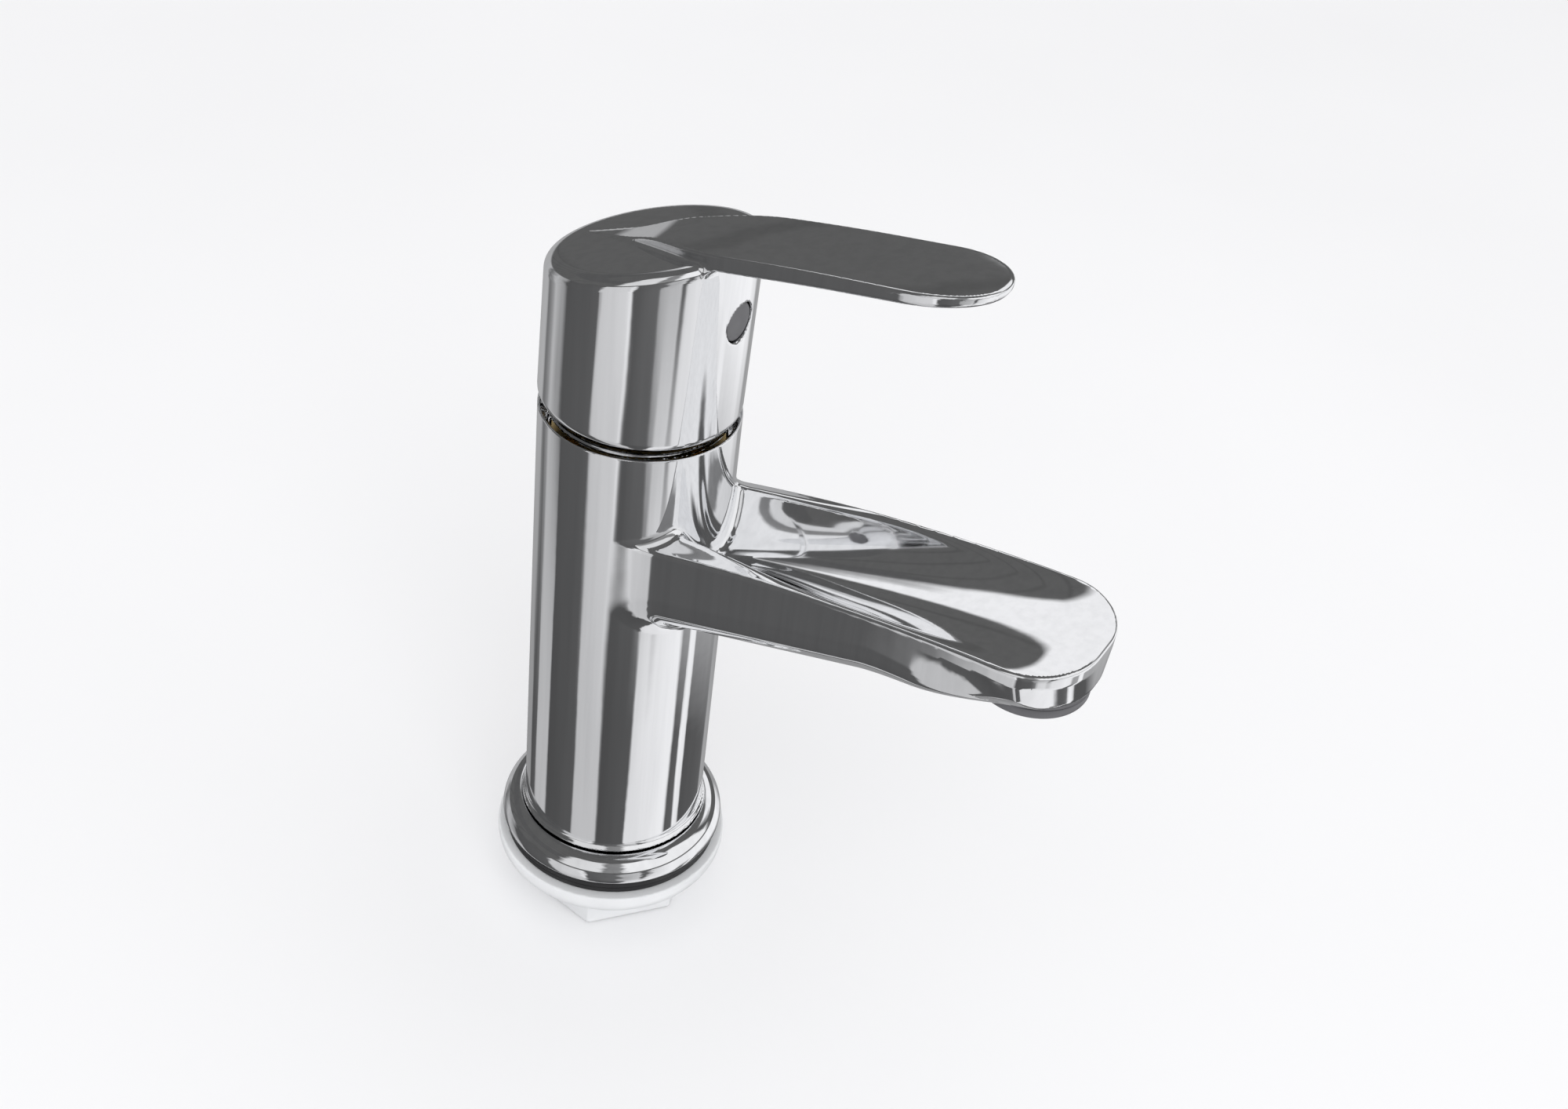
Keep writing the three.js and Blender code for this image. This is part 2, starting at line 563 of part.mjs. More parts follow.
// ---------------------------------------------------------------- handle, about its pivot
// The lever as seen from above: a point at the back, parallel sides and a round tip.
function leverPlan() {
  const side = LEVER_REACH - LEVER_TIP_LENGTH;
  const pull = -side - LEVER_TIP_PULL;
  const plan = new THREE.Shape();
  plan.moveTo(0, LEVER_BACK);
  plan.lineTo(-LEVER_HALF_WIDTH, -LEVER_FORK);
  plan.lineTo(-LEVER_HALF_WIDTH, -side);
  plan.bezierCurveTo(-LEVER_HALF_WIDTH, pull, -LEVER_TIP_FLAT, -LEVER_REACH, 0, -LEVER_REACH);
  plan.bezierCurveTo(LEVER_TIP_FLAT, -LEVER_REACH, LEVER_HALF_WIDTH, pull, LEVER_HALF_WIDTH, -side);
  plan.lineTo(LEVER_HALF_WIDTH, -LEVER_FORK);
  plan.closePath();
  return plan;
}

// The lever as seen from the side: it grows out of the top face and thins towards the tip.
function leverSide() {
  const topFaceAt = (u) => HANDLE_TOP + HANDLE_TOP_SLOPE * u;
  const edgeAt = (u) => LEVER_TOP + LEVER_SLOPE * u;
  const bend = LEVER_REACH - LEVER_BEND;
  const [backDepth, frontDepth] = LEVER_ROOT_DEPTH;
  const skirtFront = COLUMN_R - 2 * OVERCUT;
  const side = new THREE.Shape();
  side.moveTo(-LEVER_BACK, topFaceAt(-LEVER_BACK) - backDepth);
  side.lineTo(LEVER_FORK - LEVER_ROOT_SPAN, topFaceAt(LEVER_FORK) - frontDepth);
  side.lineTo(skirtFront, edgeAt(skirtFront) - LEVER_T);
  side.lineTo(LEVER_REACH, edgeAt(LEVER_REACH) - LEVER_T + LEVER_DROOP / 2);
  side.lineTo(LEVER_REACH, edgeAt(LEVER_REACH) - LEVER_DROOP);
  side.lineTo(bend, edgeAt(bend));
  side.lineTo(LEVER_FORK, edgeAt(LEVER_FORK));
  side.lineTo(0, topFaceAt(0) + LEVER_CREST);
  side.lineTo(-LEVER_BACK, topFaceAt(-LEVER_BACK));
  side.closePath();
  return side;
}

function handleSkirt() {
  const rise = (COLUMN_R + OVERCUT) * HANDLE_TOP_SLOPE;
  const blankTop = HANDLE_TOP + rise + OVERCUT;
  const roundBody = lathe([[0, SKIRT_BOTTOM], [SKIRT_BOTTOM_R, SKIRT_BOTTOM],
    [SKIRT_BOTTOM_R, SKIRT_BOTTOM + SKIRT_LIP], [COLUMN_R, SKIRT_BOTTOM + SKIRT_LIP + SKIRT_BEVEL],
    [COLUMN_R, blankTop], [0, blankTop]]);
  const topFace = new THREE.Shape();
  topFace.moveTo(-COLUMN_R - OVERCUT, HANDLE_TOP - rise);
  topFace.lineTo(COLUMN_R + OVERCUT, HANDLE_TOP + rise);
  topFace.lineTo(COLUMN_R + OVERCUT, FAR);
  topFace.lineTo(-COLUMN_R - OVERCUT, FAR);
  topFace.closePath();
  return cut(roundBody, sideSlab(topFace, FAR));
}

function handle() {
  const lever = common(prism(leverPlan(), SKIRT_ROOF, 2 * FAR), sideSlab(leverSide(), FAR));
  const bore = rod(SKIRT_BORE_R, SKIRT_BOTTOM - OVERCUT, SKIRT_ROOF);
  const socketHalf = STEM_W / 2 + GAP;
  const socketRoof = STEM_TOP + 2 * GAP;
  const socketLow = [-socketHalf, -socketHalf, SKIRT_ROOF - OVERCUT];
  const socket = block(socketLow, [socketHalf, socketHalf, socketRoof]);
  const buttonSeat = rod(BUTTON_R + GAP, 0, BUTTON_SEAT_LENGTH, SMALL_ROUND).rotateX(Math.PI / 2)
    .translate(0, BUTTON_FACE_Y + BUTTON_T + GAP, BUTTON_Z);
  const screwHole = rod(SCREW_R + GAP, 0, SCREW_HOLE_LENGTH, SMALL_ROUND).rotateX(Math.PI / 2)
    .translate(0, -STEM_W / 2, BUTTON_Z);
  return cut(join(handleSkirt(), lever), bore, socket, buttonSeat, screwHole);
}

function indexButton() {
  return rod(BUTTON_R, 0, BUTTON_T, SMALL_ROUND).rotateX(Math.PI / 2)
    .translate(0, BUTTON_FACE_Y + BUTTON_T, BUTTON_Z);
}

// A socket set screw that locks the handle on the stem.
function grubScrew() {
  const innerY = -STEM_W / 2 - GAP;
  const screw = rod(SCREW_R, 0, SCREW_LENGTH, SMALL_ROUND).rotateX(Math.PI / 2)
    .translate(0, innerY, BUTTON_Z);
  const key = new THREE.CylinderGeometry(SCREW_KEY_R, SCREW_KEY_R, 2 * SCREW_KEY_DEPTH, 6)
    .translate(0, innerY - SCREW_LENGTH, BUTTON_Z);
  return cut(screw, key);
}

// A square bar with a hole for its pin and a slimmer lower end.
function leverStem() {
  const half = STEM_W / 2;
  const bar = block([-half, -half, -STEM_FOOT], [half, half, STEM_TOP]);
  const toeTop = OVERCUT - STEM_FOOT;
  const toe = block([-STEM_TOE_HALF, -STEM_TOE_HALF, -STEM_REACH], [STEM_TOE_HALF, STEM_TOE_HALF, toeTop]);
  return cut(join(bar, toe), crossRod(PIN_R + GAP, STEM_W));
}

// ---------------------------------------------------------------- assembly
const faucet = new THREE.Group();

faucet.add(
  piece('faucet_body', faucetBody(), 'chrome'),
  piece('base_ring', baseRing(), 'chrome'),
  piece('base_ring_seal', baseRingSeal(), 'rubber'),
  piece('deck_gasket', ring(SHANK_R + GAP, GASKET_R, 0, GASKET_T), 'rubber'),
  piece('threaded_shank', ring(SHANK_BORE_R, SHANK_R, SHANK_BOTTOM_Z, SHANK_TOP_Z), 'brass'),
  piece('shank_seal', ring(SHANK_BORE_R + GAP, SHANK_R, SHANK_TOP_Z + GAP,
    SHANK_TOP_Z + GAP + SHANK_SEAL_T), 'rubber'),
  piece('under_deck_washer', ring(SHANK_R + GAP, WASHER_R, -GAP - WASHER_T, -GAP), 'rubber'),
  piece('mounting_nut', mountingNut(), 'whitePlastic'),
);

faucet.add(
  piece('cartridge_base', cartridgeBase(), 'whitePlastic'),
  piece('hot_inlet_seal', portSeal(PORT_X, PORT_Y), 'rubber'),
  piece('cold_inlet_seal', portSeal(-PORT_X, PORT_Y), 'rubber'),
  piece('outlet_seal', portSeal(0, OUTLET_Y), 'rubber'),
  piece('cartridge_housing', cartridgeHousing(), 'whitePlastic'),
  piece('fixed_ceramic_disc', fixedDisc(), 'ceramic'),
  piece('moving_ceramic_disc', movingDisc(), 'ceramic'),
  piece('disc_carrier', discCarrier(), 'bluePlastic'),
  piece('turntable', turntable(), 'whitePlastic'),
  piece('stem_pin', stemPin(), 'steel'),
  piece('cartridge_nut', cartridgeNut(), 'brass'),
);

faucet.add(
  piece('aerator_housing', aeratorHousing(), 'greyPlastic'),
  piece('aerator_insert', aeratorInsert(), 'greyPlastic'),
  piece('aerator_screen', aeratorScreen(), 'steel'),
  piece('aerator_seal', aeratorSeal(), 'rubber'),
);

const handleGroup = new THREE.Group();
handleGroup.position.z = PIVOT_Z;
handleGroup.rotation.x = HANDLE_LEAN;
handleGroup.add(
  piece('lever_stem', leverStem(), 'brass'),
  piece('handle', handle(), 'chrome'),
  piece('index_button', indexButton(), 'greyPlastic'),
  piece('grub_screw', grubScrew(), 'steel'),
);
faucet.add(handleGroup);

export default faucet;
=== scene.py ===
import json
import math

import bpy
import numpy as np
from mathutils import Matrix, Vector


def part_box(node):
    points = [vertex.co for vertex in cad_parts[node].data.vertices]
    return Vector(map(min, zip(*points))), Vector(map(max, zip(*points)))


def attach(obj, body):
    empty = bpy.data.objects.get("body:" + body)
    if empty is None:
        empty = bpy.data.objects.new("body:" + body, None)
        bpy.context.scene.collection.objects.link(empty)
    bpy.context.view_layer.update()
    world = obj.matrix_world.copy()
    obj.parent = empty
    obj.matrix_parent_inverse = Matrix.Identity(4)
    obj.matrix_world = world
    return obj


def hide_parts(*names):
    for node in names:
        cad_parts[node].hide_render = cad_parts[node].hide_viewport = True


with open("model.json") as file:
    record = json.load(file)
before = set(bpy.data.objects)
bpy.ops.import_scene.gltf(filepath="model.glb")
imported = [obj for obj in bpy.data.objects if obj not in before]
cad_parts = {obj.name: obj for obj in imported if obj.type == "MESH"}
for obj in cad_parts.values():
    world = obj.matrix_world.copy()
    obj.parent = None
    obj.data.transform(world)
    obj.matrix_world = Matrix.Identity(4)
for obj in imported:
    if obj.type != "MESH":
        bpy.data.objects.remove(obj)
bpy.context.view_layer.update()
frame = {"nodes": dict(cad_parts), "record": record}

# ------------------------------------------------------------------ driving dimensions, in millimetres
MM = 0.001


def box_mm(node):
    low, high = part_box(node)
    return np.array(low) / MM, np.array(high) / MM


body_low, body_high = box_mm("faucet_body")
nut_low, nut_high = box_mm("mounting_nut")
ring_low, ring_high = box_mm("base_ring")
gasket_low, gasket_high = box_mm("deck_gasket")
washer_low, washer_high = box_mm("under_deck_washer")
aerator_low, aerator_high = box_mm("aerator_housing")

COLUMN_R = body_high[1]
RIM_Z = body_high[2]
FOOT_Z = body_low[2]
RECESS_R, RECESS_Z = 21.6, 121.9
CHAMBER_R, CHAMBER_Z = 20.0, 117.2                            # round the cartridge, under the recess
SHANK_HOLE_R, HOLLOW_TOP_Z = 15.3, 17.0                       # the shank's way through nut, rings and foot
FOOT_LIP, FOOT_LIP_UP, FOOT_LIP_SPREAD = 0.9, 1.0, 0.7        # faint swelling just over the base ring
SPOUT_REACH = -body_low[1]
SPOUT_ROOT_HALF = 18.4
SPOUT_TIP_HALF = 19.6
EDGE_Z, EDGE_SLOPE, EDGE_DROOP = 100.7, 0.2865, 0.00113      # top edge of the spout along its length
BELLY_Z, BELLY_SLOPE = 76.0, 0.284                            # its underside
TIP_UNDER_Z = 107.6
DISH_DEPTH = 9.0
DISH_MARGIN, DISH_ROOT_MARGIN, DISH_FALL = 1.4, 5.0, 1.6      # how far in from the sides, and how it fades
SHOULDER_RISE, SHOULDER_WIDTH, SHOULDER_REACH = 2.2, 7.0, 52.0      # rolled shoulders beside the dish's root
SHOULDER_OVERLAP = 8                                          # they begin this far inside the column
TIP_R, TIP_FULLNESS, TIP_TUCK = 17.0, 2.08, 0.5               # round tip, tucked in under its edge
TUCK_BELOW, TUCK_TALL, TUCK_START, TUCK_LENGTH = 3.5, 8, 82, 26
TUCK_ROUNDING = 0.4
WIDENING_LENGTH = 96                                          # the spout's sides spread over this length
BELLY_SHARE, BELLY_SOFT_MIN, BELLY_SOFT_MAX = 0.62, 3, 12     # rounding under the spout
AERATOR_Y = (aerator_low[1] + aerator_high[1]) / 2
AERATOR_R = (aerator_high[0] - aerator_low[0]) / 2

pivot = next(j for j in frame["record"]["behaviour"]["joints"] if j["name"] == "lever_lift")["pos_m"]
PIVOT_Z = pivot[2] / MM
HANDLE_LEAN = math.radians(1.5)
HANDLE_TOP, HANDLE_TOP_SLOPE = 30.3, 0.308
SKIRT_LIP_R, SKIRT_LOW, SKIRT_BEVEL_LOW = 20.9, -12.3, -10.9
LEVER_EDGE, LEVER_SLOPE = 35.6, 0.205
LEVER_HALF, LEVER_FORK, LEVER_BACK, LEVER_REACH = 12.0, 18.0, 15.0, 79.0
LEVER_T, LEVER_THINNING = 3.7, 1.1
LEVER_TIP_LENGTH, LEVER_SCOOP, LEVER_RIDGE = 17.0, 0.35, 3.1
HANDLE_BORE_R, HANDLE_BORE_TOP = 18.4, 12
BUTTON_Z, BUTTON_SEAT_R, BUTTON_SEAT_Y = 19.2, 4.65, 19.6
BUTTON_R, BUTTON_DEPTH, BUTTON_EDGE, BUTTON_BACK_Y = 4.4, 2.4, 0.35, 19.9

NUT_FLANGE_T, NUT_SOFTEN = 7.4, 5.5
NUT_HEX_HALF, NUT_HEX_TURN = 19.5, math.radians(-8)           # centre to flat
RUBBER_CROWN = 0.35

# ------------------------------------------------------------------ mesh spacing, in millimetres
BODY_STEP, RIM_STEP, HANDLE_STEP, NUT_STEP = 0.6, 0.25, 0.5, 0.6
RIM_BAND_Z = 124.5                                            # the body's mesh is finer from here up
GRID_HALF, GRID_MARGIN = 24.5, 1.5                            # how far the grids reach round a shape
PULLS, LEAST_SLOPE, LONGEST_PULL = 4, 0.05, 0.4
TOP_TRIM = 0.01                                               # keeps a band from gaining a layer by rounding


# ------------------------------------------------------------------ implicit shapes
def smooth_min(a, b, k):
    """The lower of two fields, rounded over about k where they meet."""
    h = np.clip(0.5 + 0.5 * (b - a) / k, 0, 1)
    return b + (a - b) * h - k * h * (1 - h)


def smooth_max(a, b, k):
    return -smooth_min(-a, -b, k)


def smooth_step(t):
    t = np.clip(t, 0, 1)
    return t * t * (3 - 2 * t)


def gradient(field, p, eps=0.01):
    out = np.empty_like(p)
    for axis in range(3):
        shift = np.zeros(3)
        shift[axis] = eps
        out[:, axis] = (field(*(p + shift).T) - field(*(p - shift).T)) / (2 * eps)
    return out


CORNERS = [(i, j, k) for i in (0, 1) for j in (0, 1) for k in (0, 1)]
EDGES = [(a, b) for a in CORNERS for b in CORNERS if a < b and sum(abs(p - q) for p, q in zip(a, b)) == 1]


def surface_net(field, low, high, step):
    """Vertices and quads of the surface where a field is zero: one vertex in each cell that it crosses."""
    counts = np.ceil((np.array(high) - low) / step).astype(int) + 1
    axes = [low[i] + step * np.arange(counts[i]) for i in range(3)]
    values = field(*np.meshgrid(*axes, indexing="ij"))
    inside = values < 0
    n = counts - 1
    filled = sum(inside[i:i + n[0], j:j + n[1], k:k + n[2]].astype(np.int8) for i, j, k in CORNERS)
    mixed = (filled > 0) & (filled < 8)
    number = -np.ones(mixed.shape, dtype=np.int64)
    cells = np.argwhere(mixed)
    number[mixed] = np.arange(len(cells))
    total = np.zeros((len(cells), 3))
    hits = np.zeros((len(cells), 1))
    for a, b in EDGES:
        va = values[tuple((cells + a).T)]
        vb = values[tuple((cells + b).T)]
        crossed = (va < 0) != (vb < 0)
        t = np.where(crossed, va / np.where(crossed, va - vb, 1), 0)[:, None]
        point = cells + np.array(a) + (np.array(b) - np.array(a)) * t
        total += np.where(crossed[:, None], point, 0)
        hits += crossed[:, None]
    points = np.array(low) + step * total / hits
    quads = []
    for axis in range(3):
        u, v = (axis + 1) % 3, (axis + 2) % 3
        here = np.moveaxis(inside, axis, 0)
        change = np.moveaxis(here[:-1] != here[1:], 0, axis)
        spots = np.argwhere(change)
        spots = spots[(spots[:, u] > 0) & (spots[:, v] > 0) & (spots[:, u] < n[u]) & (spots[:, v] < n[v])]
        loop = []
        for du, dv in ((-1, -1), (0, -1), (0, 0), (-1, 0)):
            cell = spots.copy()
            cell[:, u] += du
            cell[:, v] += dv
            loop.append(number[tuple(cell.T)])
        loop = np.stack(loop, axis=1)
        solid_below = inside[tuple(spots.T)]
        loop[~solid_below] = loop[~solid_below][:, ::-1]
        quads.append(loop)
    return points, np.concatenate(quads), cells[:, 2]


def drawn_onto(field, points, step):
    """Points moved along the field's slope until they lie on its surface."""
    for _ in range(PULLS):
        slope = gradient(field, points)
        move = (field(*points.T) / np.maximum((slope ** 2).sum(axis=1), LEAST_SLOPE))[:, None] * slope
        points = points - np.clip(move, -LONGEST_PULL * step, LONGEST_PULL * step)
    return points


def banded_net(field, low, high, bands):
    """One net for each (start height, step); neighbours meet at the same height on upright walls."""
    all_points, all_quads, count = [], [], 0
    for i, (start, step) in enumerate(bands):
        last = i + 1 == len(bands)
        bottom = low[2] if i == 0 else start - step / 2
        layers = math.ceil(((high[2] if last else bands[i + 1][0]) - bottom) / step - (0 if last else 0.5))
        if not last:
            bottom = bands[i + 1][0] + step / 2 - step * (layers + 1)
        top = high[2] if last else bands[i + 1][0] + step / 2
        points, quads, layer = surface_net(field, np.array([low[0], low[1], bottom]),
                                           np.array([high[0], high[1], top - step * TOP_TRIM]), step)
        points = drawn_onto(field, points, step)
        if i > 0:
            points[layer == 0, 2] = start
        if not last:
            points[layer == layer.max(), 2] = bands[i + 1][0]
        all_points.append(points)
        all_quads.append(quads + count)
        count += len(points)
    return np.concatenate(all_points), np.concatenate(all_quads)


def implicit_piece(name, field, low, high, bands, place=None):
    """A dense mesh of an implicit shape, with each vertex drawn onto the true surface and its true normal."""
    points, quads = banded_net(field, low, high, bands)
    normals = gradient(field, points)
    normals /= np.linalg.norm(normals, axis=1)[:, None]
    if place is not None:
        turn = np.array(place.to_3x3())
        points = points @ turn.T + np.array(place.translation)
        normals = normals @ turn.T
    mesh = bpy.data.meshes.new(name)
    mesh.vertices.add(len(points))
    mesh.vertices.foreach_set("co", (points * MM).ravel())
    mesh.loops.add(quads.size)
    mesh.loops.foreach_set("vertex_index", quads.ravel().astype(np.int32))
    mesh.polygons.add(len(quads))
    mesh.polygons.foreach_set("loop_start", np.arange(0, quads.size, 4, dtype=np.int32))
    mesh.update(calc_edges=True)
    mesh.shade_smooth()
    mesh.normals_split_custom_set_from_vertices([tuple(n) for n in normals])
    return link(name, mesh)


def link(name, mesh):
    obj = bpy.data.objects.new(name, mesh)
    bpy.context.scene.collection.objects.link(obj)
    return obj


def turned_piece(name, profile, segments=160, centre=(0, 0), smooth_angle=35):
    """A closed ring from a profile of (radius, height) points in millimetres, turned about Z."""
    rows = len(profile)
    verts, faces = [], []
    for i in range(segments):
        angle = 2 * math.pi * i / segments
        for r, z in profile:
            x, y = r * math.cos(angle) + centre[0], r * math.sin(angle) + centre[1]
            verts.append((x * MM, y * MM, z * MM))
    for i in range(segments):
        for j in range(rows):
            a, b = i * rows + j, i * rows + (j + 1) % rows
            c, d = ((i + 1) % segments) * rows + (j + 1) % rows, ((i + 1) % segments) * rows + j
            faces.append((a, d, c, b))
    mesh = bpy.data.meshes.new(name)
    mesh.from_pydata(verts, [], faces)
    mesh.update()
    obj = link(name, mesh)
    smooth_by_angle(obj, smooth_angle)
    return obj


def smooth_by_angle(obj, degrees):
    obj.data.shade_smooth()
    obj.data.set_sharp_from_angle(angle=math.radians(degrees))


def arc(centre, radii, start, end, steps):
    """Points on an ellipse's arc, from one angle to another in degrees."""
    angles = [math.radians(start + (end - start) * i / steps) for i in range(steps + 1)]
    return [(centre[0] + radii[0] * math.cos(a), centre[1] + radii[1] * math.sin(a)) for a in angles]


# ------------------------------------------------------------------ the body casting
def superellipse(a, b, n):
    return (np.maximum(a, 0) ** n + np.maximum(b, 0) ** n) ** (1 / n)


def spout_edge(u):
    return EDGE_Z + EDGE_SLOPE * u - EDGE_DROOP * u * u


def spout_belly(u):
    return smooth_min(BELLY_Z + BELLY_SLOPE * u, TIP_UNDER_Z + 0.5 + 0.02 * (u - SPOUT_REACH), 3)


def spout_field(x, y, z):
    u = -y
    edge = spout_edge(u)
    half = SPOUT_ROOT_HALF + (SPOUT_TIP_HALF - SPOUT_ROOT_HALF) * np.clip(u / WIDENING_LENGTH, 0, 1.1)
    tuck = TIP_TUCK * np.clip(edge - TUCK_BELOW - z, 0, TUCK_TALL)
    tuck = tuck * smooth_step((u - TUCK_START) / TUCK_LENGTH)
    waist = half - tuck
    round_r = TIP_R - TUCK_ROUNDING * tuck
    plan = superellipse(np.abs(x) - (waist - round_r), u - (SPOUT_REACH - round_r), TIP_FULLNESS) - round_r
    belly = spout_belly(u)
    towards_tip = smooth_step((u - 70) / 30)
    soft = np.clip((edge - belly) * BELLY_SHARE, BELLY_SOFT_MIN, BELLY_SOFT_MAX) * (1 - 0.5 * towards_tip)
    section = superellipse(np.abs(x) - (waist - soft), soft - (z - belly), 2.2) - soft
    hull = smooth_max(plan, section, 1.4)
    along = np.clip((u - COLUMN_R) / (SPOUT_REACH - COLUMN_R), -0.3, 1.05)
    root = smooth_step(1 - (u - COLUMN_R + SHOULDER_OVERLAP) / SHOULDER_REACH)
    shoulder = SHOULDER_RISE * root * smooth_step((half - np.abs(x)) / SHOULDER_WIDTH)
    scoop = half - DISH_MARGIN - DISH_ROOT_MARGIN * root
    deep = (DISH_DEPTH + SHOULDER_RISE * root) * (1 - np.sign(along) * np.abs(along) ** DISH_FALL)
    rim = edge + shoulder
    dish = z - (rim - deep * (1 - (x / scoop) ** 2))
    dish = dish / np.sqrt(1 + (2 * deep * x / scoop ** 2) ** 2)
    upper = smooth_max(z - rim, dish, 1.3)
    return smooth_max(hull, upper, 0.9)


def body_field(x, y, z):
    r = np.hypot(x, y)
    foot_lip = FOOT_LIP * np.exp(-((z - (ring_high[2] + FOOT_LIP_UP)) / FOOT_LIP_SPREAD) ** 2)
    column = smooth_max(r - COLUMN_R - foot_lip, z - RIM_Z, 0.25)
    column = smooth_max(column, FOOT_Z - z, 0.4)
    spout = smooth_max(spout_field(x, y, z), y, 0.5)
    whole = smooth_min(column, spout, 3.2)
    bevel = ((r - COLUMN_R + 0.25) - (z - RIM_Z)) * math.sqrt(0.5)
    recess = smooth_max(np.minimum(r - RECESS_R, bevel), RECESS_Z - z, 0.3)
    chamber = smooth_max(r - CHAMBER_R, CHAMBER_Z - z, 0.3)
    hollow = np.maximum(r - SHANK_HOLE_R, z - HOLLOW_TOP_Z)
    spot = np.maximum(np.hypot(x, y - AERATOR_Y) - AERATOR_R - 0.4, z - TIP_UNDER_Z)
    for cavity in (recess, chamber, hollow, spot):
        whole = smooth_max(whole, -cavity, 0.3)
    return whole


def make_body():
    low = (-GRID_HALF, -SPOUT_REACH - GRID_MARGIN, FOOT_Z - 1)
    high = (GRID_HALF, COLUMN_R + GRID_MARGIN, RIM_Z + 1)
    bands = [(low[2], BODY_STEP), (RIM_BAND_Z, RIM_STEP)]
    return implicit_piece("body_casting", body_field, low, high, bands)


# ------------------------------------------------------------------ the handle, about its pivot
def handle_top_face(x, y):
    return HANDLE_TOP + 0.4 - HANDLE_TOP_SLOPE * y - 0.0012 * (x * x + y * y)


def handle_field(x, y, z):
    u = -y
    r = np.hypot(x, y)
    bevel_slope = (COLUMN_R - SKIRT_LIP_R) / 3.0
    bevel = (r - SKIRT_LIP_R - (z - SKIRT_BEVEL_LOW) * bevel_slope) / math.hypot(1, bevel_slope)
    skirt = smooth_max(r - COLUMN_R, bevel, 0.5)
    skirt = np.minimum(skirt, r - SKIRT_LIP_R)
    skirt = smooth_max(skirt, SKIRT_LOW - z, 0.4)
    crown = (z - handle_top_face(x, y)) / math.hypot(1, HANDLE_TOP_SLOPE)
    skirt = smooth_max(skirt, crown, 3.0)
    spread = LEVER_HALF * (u + LEVER_BACK) / (LEVER_FORK + LEVER_BACK)
    half = smooth_min(spread, LEVER_HALF + 0.004 * (u - LEVER_FORK), 2.5)
    front = (u - (LEVER_REACH - LEVER_TIP_LENGTH)) * LEVER_HALF / LEVER_TIP_LENGTH
    plan = superellipse(np.abs(x) - (half - LEVER_HALF), front, 2.1) - LEVER_HALF
    rise = LEVER_RIDGE * smooth_step((u + LEVER_BACK) / 22)
    edge = smooth_min(HANDLE_TOP + HANDLE_TOP_SLOPE * u + rise, LEVER_EDGE + LEVER_SLOPE * u, 3)
    edge = edge - 0.5 * np.clip((u - LEVER_REACH + 16) / 16, 0, 1.2) ** 2
    scoop = LEVER_SCOOP * (1 - (x / LEVER_HALF) ** 2)
    top = z - (edge - scoop)
    thick = LEVER_T - LEVER_THINNING * np.clip((u - 30) / 50, 0, 1)
    under = (edge - thick - 6 * smooth_step((COLUMN_R - 1 - u) / 8)) - z
    lever = smooth_max(smooth_max(plan, top, 0.7), under, 1.0)
    whole = smooth_min(skirt, lever, 1.1)
    bore = np.maximum(r - HANDLE_BORE_R, z - HANDLE_BORE_TOP)
    button_r = np.hypot(x, z - BUTTON_Z)
    seat = np.maximum(button_r - BUTTON_SEAT_R, y + BUTTON_SEAT_Y)
    return smooth_max(smooth_max(whole, -bore, 0.3), -seat, 0.3)


def make_handle():
    low = (-GRID_HALF, -LEVER_REACH - GRID_MARGIN, SKIRT_LOW - 1)
    high = (GRID_HALF, GRID_HALF, LEVER_EDGE + LEVER_SLOPE * LEVER_REACH + GRID_MARGIN)
    bands = [(low[2], HANDLE_STEP)]
    place = Matrix.Translation((0, 0, PIVOT_Z)) @ Matrix.Rotation(HANDLE_LEAN, 4, "X")
    return implicit_piece("handle_casting", handle_field, low, high, bands, place)


# ------------------------------------------------------------------ the back-nut
def nut_field(x, y, z):
    r = np.hypot(x, y)
    top = nut_high[2]
    flange_low = top - NUT_FLANGE_T
    edge = superellipse(r - (nut_high[0] - NUT_SOFTEN), (flange_low + NUT_SOFTEN) - z, 2.0) - NUT_SOFTEN
    flange = smooth_max(edge, z - top, 0.5)
    hexagon = z * 0 - 100
    for k in range(3):
        angle = NUT_HEX_TURN + math.radians(60 * k)
        side = np.abs(x * math.cos(angle) + y * math.sin(angle)) - NUT_HEX_HALF
        hexagon = smooth_max(hexagon, side, 0.6)
    hexagon = smooth_max(hexagon, nut_low[2] - z, 0.7)
    hexagon = smooth_max(hexagon, z - top, 0.5)
    whole = smooth_min(flange, hexagon, 3.0)
    return smooth_max(whole, SHANK_HOLE_R - r, 0.5)


def make_nut():
    low = (nut_low[0] - 1, nut_low[1] - 1, nut_low[2] - 1)
    high = (nut_high[0] + 1, nut_high[1] + 1, nut_high[2] + 1)
    bands = [(low[2], NUT_STEP)]
    return implicit_piece("flanged_nut", nut_field, low, high, bands)


# ------------------------------------------------------------------ turned pieces
def make_base_ring():
    """A fat half-round ring, with a small lip against the column and a rebate under it for the seal."""
    bore, outer = COLUMN_R + 0.5, ring_high[0]
    low, high = ring_low[2], ring_high[2]
    foot_w, foot_h, lip, rebate_w, rebate_h = 1.0, 0.9, 0.6, 2, 2.7
    middle = low + foot_h
    profile = [(bore + rebate_w, low), (outer - foot_w, low)]
    profile += arc((outer - foot_w, middle), (foot_w, foot_h), -80, -10, 4)
    profile += arc((bore + lip, middle), (outer - bore - lip, high - middle), 0, 90, 28)
    profile += arc((bore + lip, high - lip), (lip, lip), 100, 180, 5)
    profile += [(bore, low + rebate_h), (bore + rebate_w, low + rebate_h)]
    return turned_piece("base_ring_polished", profile, 192)


